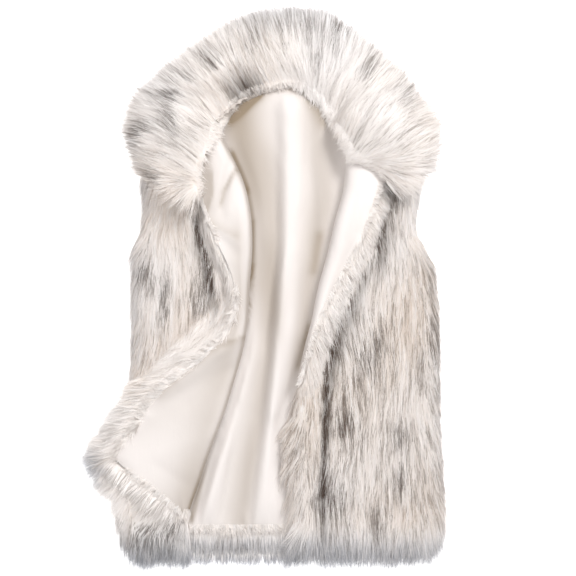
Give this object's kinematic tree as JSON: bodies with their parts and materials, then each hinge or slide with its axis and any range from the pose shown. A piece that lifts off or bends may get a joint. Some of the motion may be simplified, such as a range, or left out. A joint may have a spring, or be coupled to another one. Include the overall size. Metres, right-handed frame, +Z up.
{
  "type": "fur vest",
  "caption": "Open faux fur vest with a wide fur collar and satin lining, lying on its back with both front edges turned outwards.",
  "frame": {"origin": "on the floor, under the middle of the box round the vest", "axes": "+Y from the hem to the collar, +X to the wearer's left, +Z up from the floor"},
  "size_m": [0.5232, 0.8054, 0.0782],
  "materials": {
    "body_fur": "long pile faux fur, ivory with dark tips",
    "collar_fur": "long pile faux fur, ivory with dark tips",
    "lining_satin": "soft satin"
  },
  "bodies": {
    "root": {"back_shell": "body_fur", "right_front_shell": "body_fur", "left_front_shell": "body_fur", "under_collar": "collar_fur", "upper_collar": "collar_fur", "back_lining": "lining_satin", "right_front_lining": "lining_satin", "left_front_lining": "lining_satin"}
  },
  "joints": []
}
